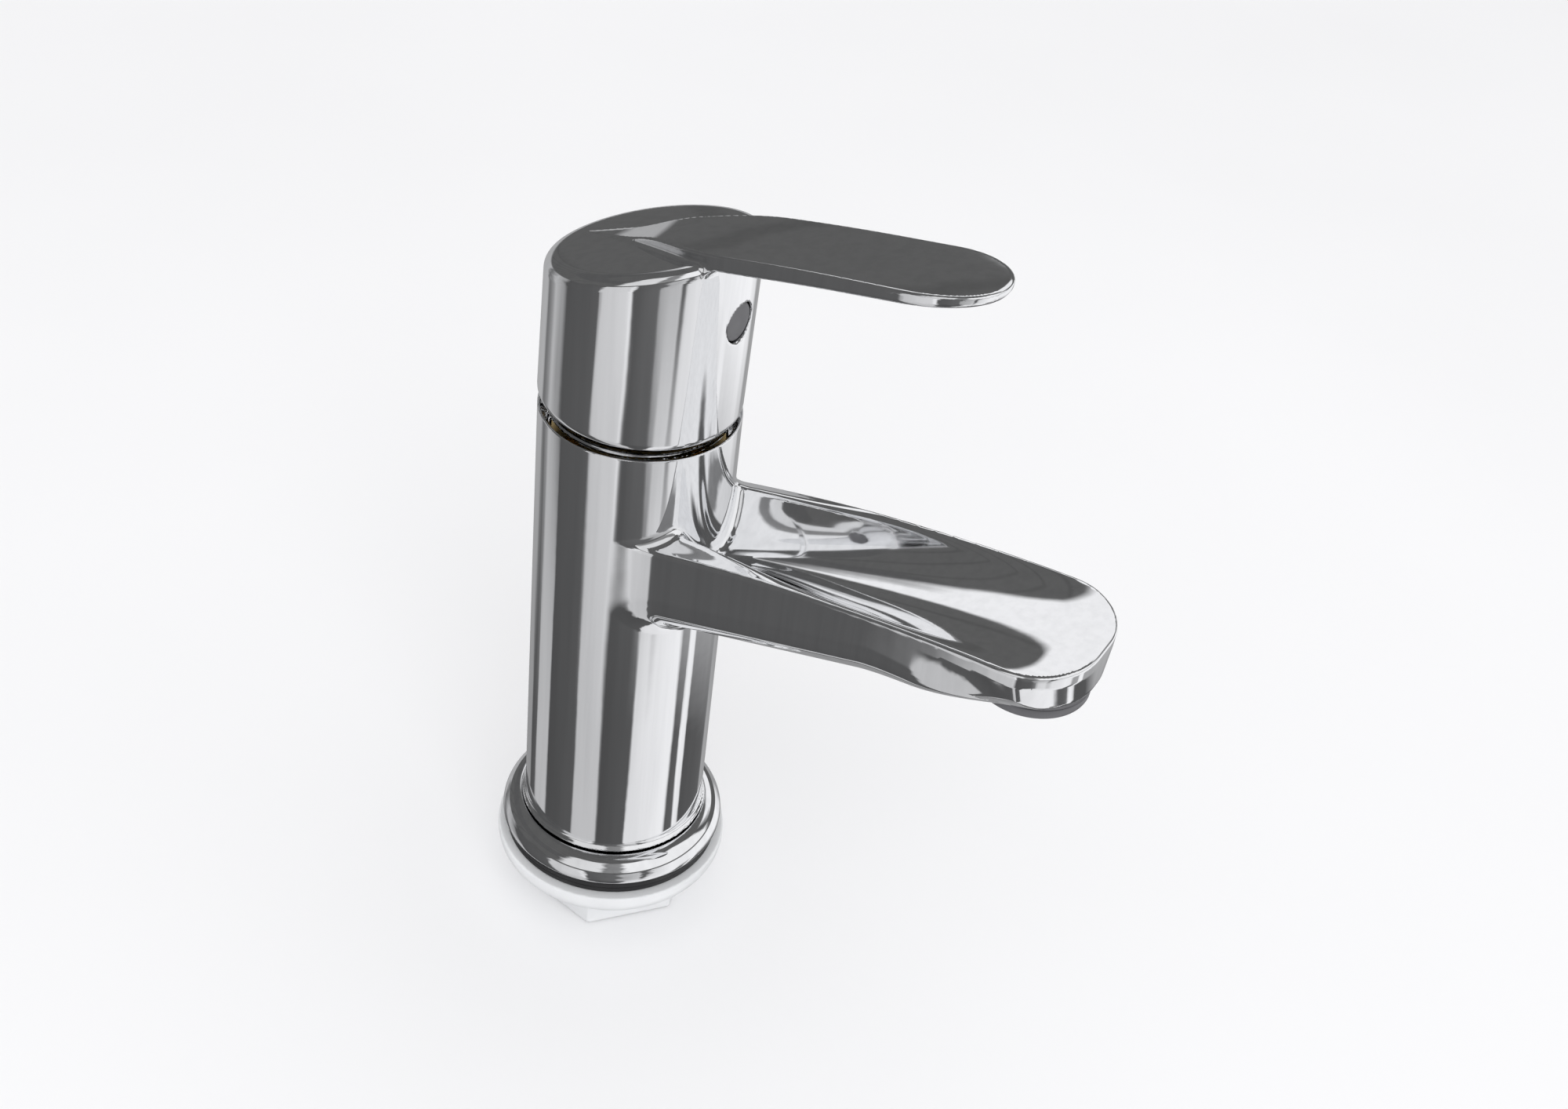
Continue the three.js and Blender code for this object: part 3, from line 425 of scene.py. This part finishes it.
def make_flat_ring(name, low, high, outer):
    """A flat rubber ring round the shank, with softly rounded edges."""
    inner, crown = SHANK_HOLE_R, RUBBER_CROWN
    profile = arc((inner + crown, low + crown), (crown, crown), 180, 270, 4)
    profile += arc((outer - crown, low + crown), (crown, crown), 270, 360, 4)
    profile += arc((outer - crown, high - crown), (crown, crown), 0, 90, 4)
    profile += arc((inner + crown, high - crown), (crown, crown), 90, 180, 4)
    return turned_piece(name, profile, 128)


def make_aerator_ring():
    """A collar in two steps under the tip, with a thinner skirt up inside it."""
    low, high = aerator_low[2], TIP_UNDER_Z - 0.3
    outer, inner = AERATOR_R, AERATOR_R - 3.0
    skirt, wall = outer - 1.1, outer - 2.2
    profile = arc((inner + 0.5, low + 0.5), (0.5, 0.5), 180, 270, 4)
    profile += arc((outer - 1.2, low + 1.2), (1.05, 1.2), 270, 360, 8)
    profile += arc((outer - 0.55, low + 2.2), (0.4, 0.4), 20, 90, 4)
    profile += arc((outer - 0.3, low + 3.2), (0.3, 0.3), 270, 360, 3)
    profile += [(outer, high), (skirt, high), (skirt, aerator_high[2])]
    profile += [(wall, aerator_high[2]), (wall, low + 1.0), (inner, low + 1.0)]
    return turned_piece("aerator_ring", profile, 128, (0, AERATOR_Y))


def make_button():
    """A flat round button with a softly rounded edge, closed at both ends, facing the front."""
    r, depth, edge = BUTTON_R, BUTTON_DEPTH, BUTTON_EDGE
    profile = [(0, 0), (r, 0)] + arc((r - edge, depth - edge), (edge, edge), 0, 90, 6) + [(0, depth)]
    segments = 72
    verts, faces, rows = [], [], []
    for i, (radius, height) in enumerate(profile):
        count = 1 if radius == 0 else segments
        row = []
        for k in range(count):
            angle = 2 * math.pi * k / segments
            row.append(len(verts))
            verts.append((radius * math.cos(angle), -height, radius * math.sin(angle)))
        rows.append(row)
    for a, b in zip(rows, rows[1:]):
        for k in range(segments):
            n = (k + 1) % segments
            if len(a) == 1:
                faces.append((a[0], b[n], b[k]))
            elif len(b) == 1:
                faces.append((a[k], a[n], b[0]))
            else:
                faces.append((a[k], a[n], b[n], b[k]))
    mesh = bpy.data.meshes.new("button_face")
    mesh.from_pydata(verts, [], [tuple(reversed(f)) for f in faces])
    place = Matrix.Translation((0, 0, PIVOT_Z * MM)) @ Matrix.Rotation(HANDLE_LEAN, 4, "X")
    mesh.transform(place @ Matrix.Translation((0, -BUTTON_BACK_Y * MM, BUTTON_Z * MM)) @ Matrix.Scale(MM, 4))
    mesh.update()
    obj = link("index_disc", mesh)
    smooth_by_angle(obj, 40)
    return obj


# ------------------------------------------------------------------ materials
def material(name, colour, metallic=0.0, roughness=0.4):
    mat = bpy.data.materials.new(name)
    mat.use_nodes = True
    nodes, links = mat.node_tree.nodes, mat.node_tree.links
    shader = nodes["Principled BSDF"]
    shader.inputs["Base Color"].default_value = (*colour, 1)
    shader.inputs["Metallic"].default_value = metallic
    shader.inputs["Roughness"].default_value = roughness
    return mat, nodes, links, shader


def noise(nodes, links, scale, detail=3.0, stretch=(1, 1, 1)):
    """Noise in the object's own coordinates; scale is per metre."""
    coords = nodes.new("ShaderNodeTexCoord")
    mapping = nodes.new("ShaderNodeMapping")
    mapping.inputs["Scale"].default_value = stretch
    texture = nodes.new("ShaderNodeTexNoise")
    texture.inputs["Scale"].default_value = scale
    texture.inputs["Detail"].default_value = detail
    links.new(coords.outputs["Object"], mapping.inputs["Vector"])
    links.new(mapping.outputs["Vector"], texture.inputs["Vector"])
    return texture.outputs["Fac"]


def ramp(nodes, links, source, low, high, start=0.3, end=0.7):
    """A soft change between two colours or greys, driven by a texture."""
    node = nodes.new("ShaderNodeValToRGB")
    node.color_ramp.elements[0].position = start
    node.color_ramp.elements[1].position = end
    node.color_ramp.elements[0].color = (*low, 1)
    node.color_ramp.elements[1].color = (*high, 1)
    links.new(source, node.inputs["Fac"])
    return node.outputs["Color"]


def bump(nodes, links, shader, source, strength, distance):
    node = nodes.new("ShaderNodeBump")
    node.inputs["Strength"].default_value = strength
    node.inputs["Distance"].default_value = distance
    links.new(source, node.inputs["Height"])
    links.new(node.outputs["Normal"], shader.inputs["Normal"])


def grey(value):
    return (value, value, value)


def chrome_material():
    """Polished plate: slightly cool, with faint smears in the gloss and a very shallow orange peel."""
    mat, nodes, links, shader = material("polished_chrome", (0.86, 0.865, 0.875), 1.0, 0.05)
    smear = ramp(nodes, links, noise(nodes, links, 38, 4, (1, 1, 0.35)), grey(0.02), grey(0.075))
    links.new(smear, shader.inputs["Roughness"])
    streaks = noise(nodes, links, 420, 5, (1, 1, 0.045))
    links.new(ramp(nodes, links, streaks, (0.825, 0.83, 0.84), (0.885, 0.89, 0.9), 0.3, 0.6),
              shader.inputs["Base Color"])
    bump(nodes, links, shader, noise(nodes, links, 90, 2), 0.06, 0.0004)
    return mat


def plastic_material(name, colour, shade, roughness, grain=900, glow=0.0):
    mat, nodes, links, shader = material(name, colour, 0.0, roughness)
    links.new(ramp(nodes, links, noise(nodes, links, 60), shade, colour), shader.inputs["Base Color"])
    links.new(ramp(nodes, links, noise(nodes, links, 140), grey(roughness * 0.8), grey(roughness * 1.2)),
              shader.inputs["Roughness"])
    shader.inputs["Subsurface Weight"].default_value = glow
    shader.inputs["Subsurface Radius"].default_value = (0.004, 0.004, 0.004)
    bump(nodes, links, shader, noise(nodes, links, grain, 2), 0.15, 0.0001)
    return mat


def metal_material(name, colour, shade, roughness):
    """Machined metal with fine turning marks and slight tarnish."""
    mat, nodes, links, shader = material(name, colour, 1.0, roughness)
    links.new(ramp(nodes, links, noise(nodes, links, 70, 4), shade, colour), shader.inputs["Base Color"])
    marks = noise(nodes, links, 500, 2, (0.05, 0.05, 4))
    links.new(ramp(nodes, links, marks, grey(roughness * 0.7), grey(roughness * 1.4)),
              shader.inputs["Roughness"])
    bump(nodes, links, shader, marks, 0.1, 0.0001)
    return mat


chrome = chrome_material()
rubber = plastic_material("black_rubber", (0.012, 0.012, 0.013), (0.022, 0.022, 0.023), 0.6, 700)
nylon = plastic_material("white_nylon", (0.86, 0.87, 0.88), (0.8, 0.81, 0.82), 0.35, 400, 0.35)
ceramic = plastic_material("white_ceramic", (0.9, 0.89, 0.86), (0.84, 0.83, 0.8), 0.16)
grey_plastic = plastic_material("grey_plastic", (0.13, 0.13, 0.138), (0.11, 0.11, 0.116), 0.42)
blue_plastic = plastic_material("blue_plastic", (0.05, 0.1, 0.26), (0.04, 0.08, 0.2), 0.4)
brass = metal_material("machined_brass", (0.72, 0.55, 0.27), (0.6, 0.44, 0.2), 0.28)
steel = metal_material("stainless_steel", (0.62, 0.63, 0.65), (0.54, 0.55, 0.57), 0.25)
BY_SLOT = {"chrome": chrome, "rubber": rubber, "white_nylon": nylon, "ceramic": ceramic,
           "grey_plastic": grey_plastic, "blue_plastic": blue_plastic, "brass": brass, "steel": steel}


# ------------------------------------------------------------------ assembly
def fit(piece, body, slot, *nodes):
    piece.data.materials.clear()
    piece.data.materials.append(BY_SLOT[slot])
    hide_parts(*nodes)
    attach(piece, body)


def dress_nodes(replaced):
    """Every CAD node that stays gets its slot's material and smooth shading over its facets."""
    for row in frame["record"]["subparts"]:
        name = row["node"]
        if name in replaced:
            continue
        node = frame["nodes"][name]
        node.data.materials.clear()
        node.data.materials.append(BY_SLOT[row["material_slot"]])
        smooth_by_angle(node, 28)


fit(make_body(), "root", "chrome", "faucet_body")
fit(make_handle(), "lever", "chrome", "handle")
fit(make_button(), "lever", "grey_plastic", "index_button")
fit(make_base_ring(), "root", "chrome", "base_ring")
fit(make_flat_ring("gasket_rubber", gasket_low[2], gasket_high[2], gasket_high[0]),
    "root", "rubber", "deck_gasket")
fit(make_flat_ring("washer_rubber", washer_low[2], washer_high[2], washer_high[0]),
    "washer", "rubber", "under_deck_washer")
fit(make_aerator_ring(), "root", "grey_plastic", "aerator_housing")
fit(make_nut(), "back_nut", "white_nylon", "mounting_nut")
dress_nodes({"faucet_body", "handle", "index_button", "base_ring", "deck_gasket", "under_deck_washer",
             "aerator_housing", "mounting_nut"})


# ------------------------------------------------------------------ floor, light and camera
def make_floor():
    mesh = bpy.data.meshes.new("studio_floor")
    """A pale floor, a hair below the back-nut."""
    reach, z = 3.0, nut_low[2] * MM - 0.0002
    mesh.from_pydata([(-reach, -reach, z), (reach, -reach, z), (reach, reach, z), (-reach, reach, z)], [],
                     [(0, 1, 2, 3)])
    floor = link("studio_floor", mesh)
    mat, nodes, links, shader = material("pale_floor", (0.93, 0.93, 0.935), 0.0, 0.7)
    links.new(ramp(nodes, links, noise(nodes, links, 4), (0.92, 0.92, 0.925), (0.94, 0.94, 0.945)),
              shader.inputs["Base Color"])
    mesh.materials.append(mat)
    floor.visible_glossy = False


CAMERA_AZIMUTH, CAMERA_ELEVATION = math.radians(-57), math.radians(34)
CAMERA_DISTANCE = 0.4152
CAMERA_TARGET_Z = 0.11665
CAMERA_YAW, CAMERA_PITCH, CAMERA_ROLL = math.radians(4.8355), math.radians(-3.062), math.radians(4.0627)
SENSOR_WIDTH = 36.0
LENS = 41.69


def make_camera():
    a, e = CAMERA_AZIMUTH, CAMERA_ELEVATION
    back = Vector((math.sin(a) * math.cos(e), -math.cos(a) * math.cos(e), math.sin(e)))
    place = Vector((0, 0, CAMERA_TARGET_Z)) + back * CAMERA_DISTANCE
    right = (-back).cross(Vector((0, 0, 1))).normalized()
    up = right.cross(-back)
    y, p, r = CAMERA_YAW, CAMERA_PITCH, CAMERA_ROLL
    ahead = -back * (math.cos(y) * math.cos(p)) + right * (math.sin(y) * math.cos(p)) + up * math.sin(p)
    right = (right - ahead * right.dot(ahead)).normalized()
    up = right.cross(ahead)
    side = right * math.cos(r) + up * math.sin(r)
    top = up * math.cos(r) - right * math.sin(r)
    data = bpy.data.cameras.new("camera")
    data.sensor_width = SENSOR_WIDTH
    data.lens = LENS
    data.clip_start = 0.01
    camera = bpy.data.objects.new("camera", data)
    camera.matrix_world = Matrix.Translation(place) @ Matrix((side, top, -ahead)).transposed().to_4x4()
    bpy.context.scene.collection.objects.link(camera)
    bpy.context.scene.camera = camera


# How bright the studio is, by degrees round from the camera's own side: panels well below the horizon, panels
# just below it, cards up behind the mixer, and where the softbox over the camera shows.
LOW_BANDS = [(-180, 0.3), (-142, 0.3), (-138, 0.08), (-124, 0.1), (-120, 0.5), (-99, 0.55), (-96, 0.08),
             (-53, 0.1), (-50, 0.55), (-20, 0.6), (-16, 0.08), (15, 0.1), (18, 0.8), (70, 0.95), (75, 0.1),
             (86, 0.12), (88, 1.0), (94, 0.9), (97, 0.09), (141, 0.12), (146, 0.4), (180, 0.3)]
MID_BANDS = [(-180, 0.4), (-140, 0.45), (-134, 0.16), (-118, 0.5), (-104, 0.3), (-98, 0.09), (-56, 0.11),
             (-52, 0.62), (-26, 0.7), (-23, 0.95), (-19, 0.1), (8, 0.14), (12, 0.42), (30, 0.6), (33, 0.1),
             (37, 0.14), (41, 0.75), (60, 0.95), (128, 1.0), (140, 0.8), (146, 0.35), (180, 0.4)]
HIGH_BANDS = [(-180, 0.95), (-170, 0.95), (-163, 0.1), (118, 0.1), (135, 0.95), (180, 0.95)]
FRONT_BANDS = [(-180, 0), (-48, 0), (-40, 0.75), (-8, 0.8), (-2, 0.15), (14, 0.2), (20, 1), (104, 1),
               (112, 0), (180, 0)]
# Heights in the studio, as the sine of the elevation.
FRONT_LOW, FRONT_HIGH = 0.1, 0.86                             # the span of the softbox over the camera
MID_LOW, MID_HIGH = -0.68, -0.52                              # where the lower panels give way to the upper
CARD_LOW, CARD_HIGH, CARD_FADE = 0.44, 0.68, 0.03             # the cards' span
HORIZON_LOW, HORIZON_HIGH = -0.02, 0.04
WAVER_SCALE, WAVER = 5.0, 0.05                                # how the panels' edges wander
CEILING, BOARD_LINE, BOARD_LINE_WIDTH = 0.115, 0.84, 0.12     # brightness, and the lines between boards
BOARD_TURN = math.radians(35)
BOARD_SCALE, BOARD_WANDER, BOARD_DETAIL = 2.2, 2.5, 1.4
ROOM_WHITE = (0.95, 0.95, 0.96, 1)


def colour_steps(nodes, links, source, steps):
    """A grey ramp through (place, brightness) pairs, with places from 0 to 1."""
    node = nodes.new("ShaderNodeValToRGB")
    stops = node.color_ramp.elements
    while len(stops) < len(steps):
        stops.new(0.5)
    for stop, (place, value) in zip(stops, steps):
        stop.position = place
        stop.color = (value, value, value * 1.015, 1)
    links.new(source, node.inputs["Fac"])
    return node.outputs["Color"]


def round_steps(bands):
    return [((degrees + 180) / 360, value) for degrees, value in bands]


def math_node(nodes, links, operation, a, b=None):
    node = nodes.new("ShaderNodeMath")
    node.operation = operation
    for socket, value in zip(node.inputs, (a, b)):
        if value is None:
            continue
        if isinstance(value, (int, float)):
            socket.default_value = value
        else:
            links.new(value, socket)
    return node.outputs[0]


def mix(nodes, links, factor, a, b):
    node = nodes.new("ShaderNodeMix")
    node.data_type = "RGBA"
    for socket, value in zip((node.inputs[0], node.inputs[6], node.inputs[7]), (factor, a, b)):
        if isinstance(value, tuple):
            socket.default_value = value
        else:
            links.new(value, socket)
    return node.outputs[2]


def step_up(nodes, links, source, low, high):
    node = nodes.new("ShaderNodeMapRange")
    node.inputs["From Min"].default_value = low
    node.inputs["From Max"].default_value = high
    links.new(source, node.inputs["Value"])
    return node.outputs[0]


def ceiling_boards(nodes, links, direction):
    """Dark boards overhead, with a fine wandering line between one and the next."""
    turned = nodes.new("ShaderNodeMapping")
    turned.inputs["Rotation"].default_value = (0, 0, BOARD_TURN)
    links.new(direction, turned.inputs["Vector"])
    wave = nodes.new("ShaderNodeTexWave")
    wave.inputs["Scale"].default_value = BOARD_SCALE
    wave.inputs["Distortion"].default_value = BOARD_WANDER
    wave.inputs["Detail Scale"].default_value = BOARD_DETAIL
    links.new(turned.outputs["Vector"], wave.inputs["Vector"])
    line = grey(CEILING * BOARD_LINE)
    return ramp(nodes, links, wave.outputs["Fac"], line, grey(CEILING), 0.0, BOARD_LINE_WIDTH)


def make_studio():
    """A white room, and for everything that shines a ring of soft panels with slightly wavering edges."""
    world = bpy.data.worlds.new("studio")
    bpy.context.scene.world = world
    world.use_nodes = True
    nodes, links = world.node_tree.nodes, world.node_tree.links
    coords = nodes.new("ShaderNodeTexCoord")
    split = nodes.new("ShaderNodeSeparateXYZ")
    links.new(coords.outputs["Generated"], split.inputs[0])
    x, y, z = split.outputs
    a = CAMERA_AZIMUTH
    across = math_node(nodes, links, "ADD", math_node(nodes, links, "MULTIPLY", x, math.cos(a)),
                       math_node(nodes, links, "MULTIPLY", y, math.sin(a)))
    towards = math_node(nodes, links, "SUBTRACT", math_node(nodes, links, "MULTIPLY", x, math.sin(a)),
                        math_node(nodes, links, "MULTIPLY", y, math.cos(a)))
    turn = math_node(nodes, links, "ARCTAN2", across, towards)
    waver = nodes.new("ShaderNodeTexNoise")
    waver.inputs["Scale"].default_value = WAVER_SCALE
    links.new(coords.outputs["Generated"], waver.inputs["Vector"])
    offset = math_node(nodes, links, "SUBTRACT", waver.outputs["Fac"], 0.5)
    shift = math_node(nodes, links, "MULTIPLY", offset, WAVER)
    share = math_node(nodes, links, "ADD", math_node(nodes, links, "DIVIDE", turn, 2 * math.pi), 0.5)
    share = math_node(nodes, links, "ADD", share, shift)
    deep = colour_steps(nodes, links, share, round_steps(LOW_BANDS))
    shallow = colour_steps(nodes, links, share, round_steps(MID_BANDS))
    low = mix(nodes, links, step_up(nodes, links, z, MID_LOW, MID_HIGH), deep, shallow)
    cards = colour_steps(nodes, links, share, round_steps(HIGH_BANDS))
    rise = step_up(nodes, links, z, CARD_LOW - CARD_FADE, CARD_LOW)
    fall = step_up(nodes, links, z, CARD_HIGH + CARD_FADE, CARD_HIGH)
    ceiling = ceiling_boards(nodes, links, coords.outputs["Generated"])
    high = mix(nodes, links, math_node(nodes, links, "MULTIPLY", rise, fall), ceiling, cards)
    front = colour_steps(nodes, links, share, round_steps(FRONT_BANDS))
    over = math_node(nodes, links, "MULTIPLY", step_up(nodes, links, z, FRONT_LOW, FRONT_LOW + CARD_FADE),
                     step_up(nodes, links, z, FRONT_HIGH + CARD_FADE, FRONT_HIGH))
    facing = math_node(nodes, links, "MULTIPLY", over, front)
    high = mix(nodes, links, facing, high, ROOM_WHITE)
    studio = mix(nodes, links, step_up(nodes, links, z, HORIZON_LOW, HORIZON_HIGH), low, high)
    path = nodes.new("ShaderNodeLightPath")
    room = mix(nodes, links, path.outputs["Is Glossy Ray"], ROOM_WHITE, studio)
    seen = mix(nodes, links, path.outputs["Is Camera Ray"], room, (1.0, 1.0, 1.0, 1))
    links.new(seen, nodes["Background"].inputs["Color"])
    nodes["Background"].inputs["Strength"].default_value = 1.0


def soft_light(name, place, size, power):
    data = bpy.data.lights.new(name, "AREA")
    data.shape = "RECTANGLE"
    data.size, data.size_y = size
    data.energy = power
    light = bpy.data.objects.new(name, data)
    light.location = place
    light.rotation_euler = (Vector((0, 0, 0.08)) - Vector(place)).to_track_quat("-Z", "Y").to_euler()
    light.visible_glossy = False
    bpy.context.scene.collection.objects.link(light)


bpy.context.scene.view_settings.view_transform = "Standard"
make_floor()
make_camera()
make_studio()
soft_light("key_softbox", (-0.9, -0.9, 1.2), (1.0, 1.0), 6)
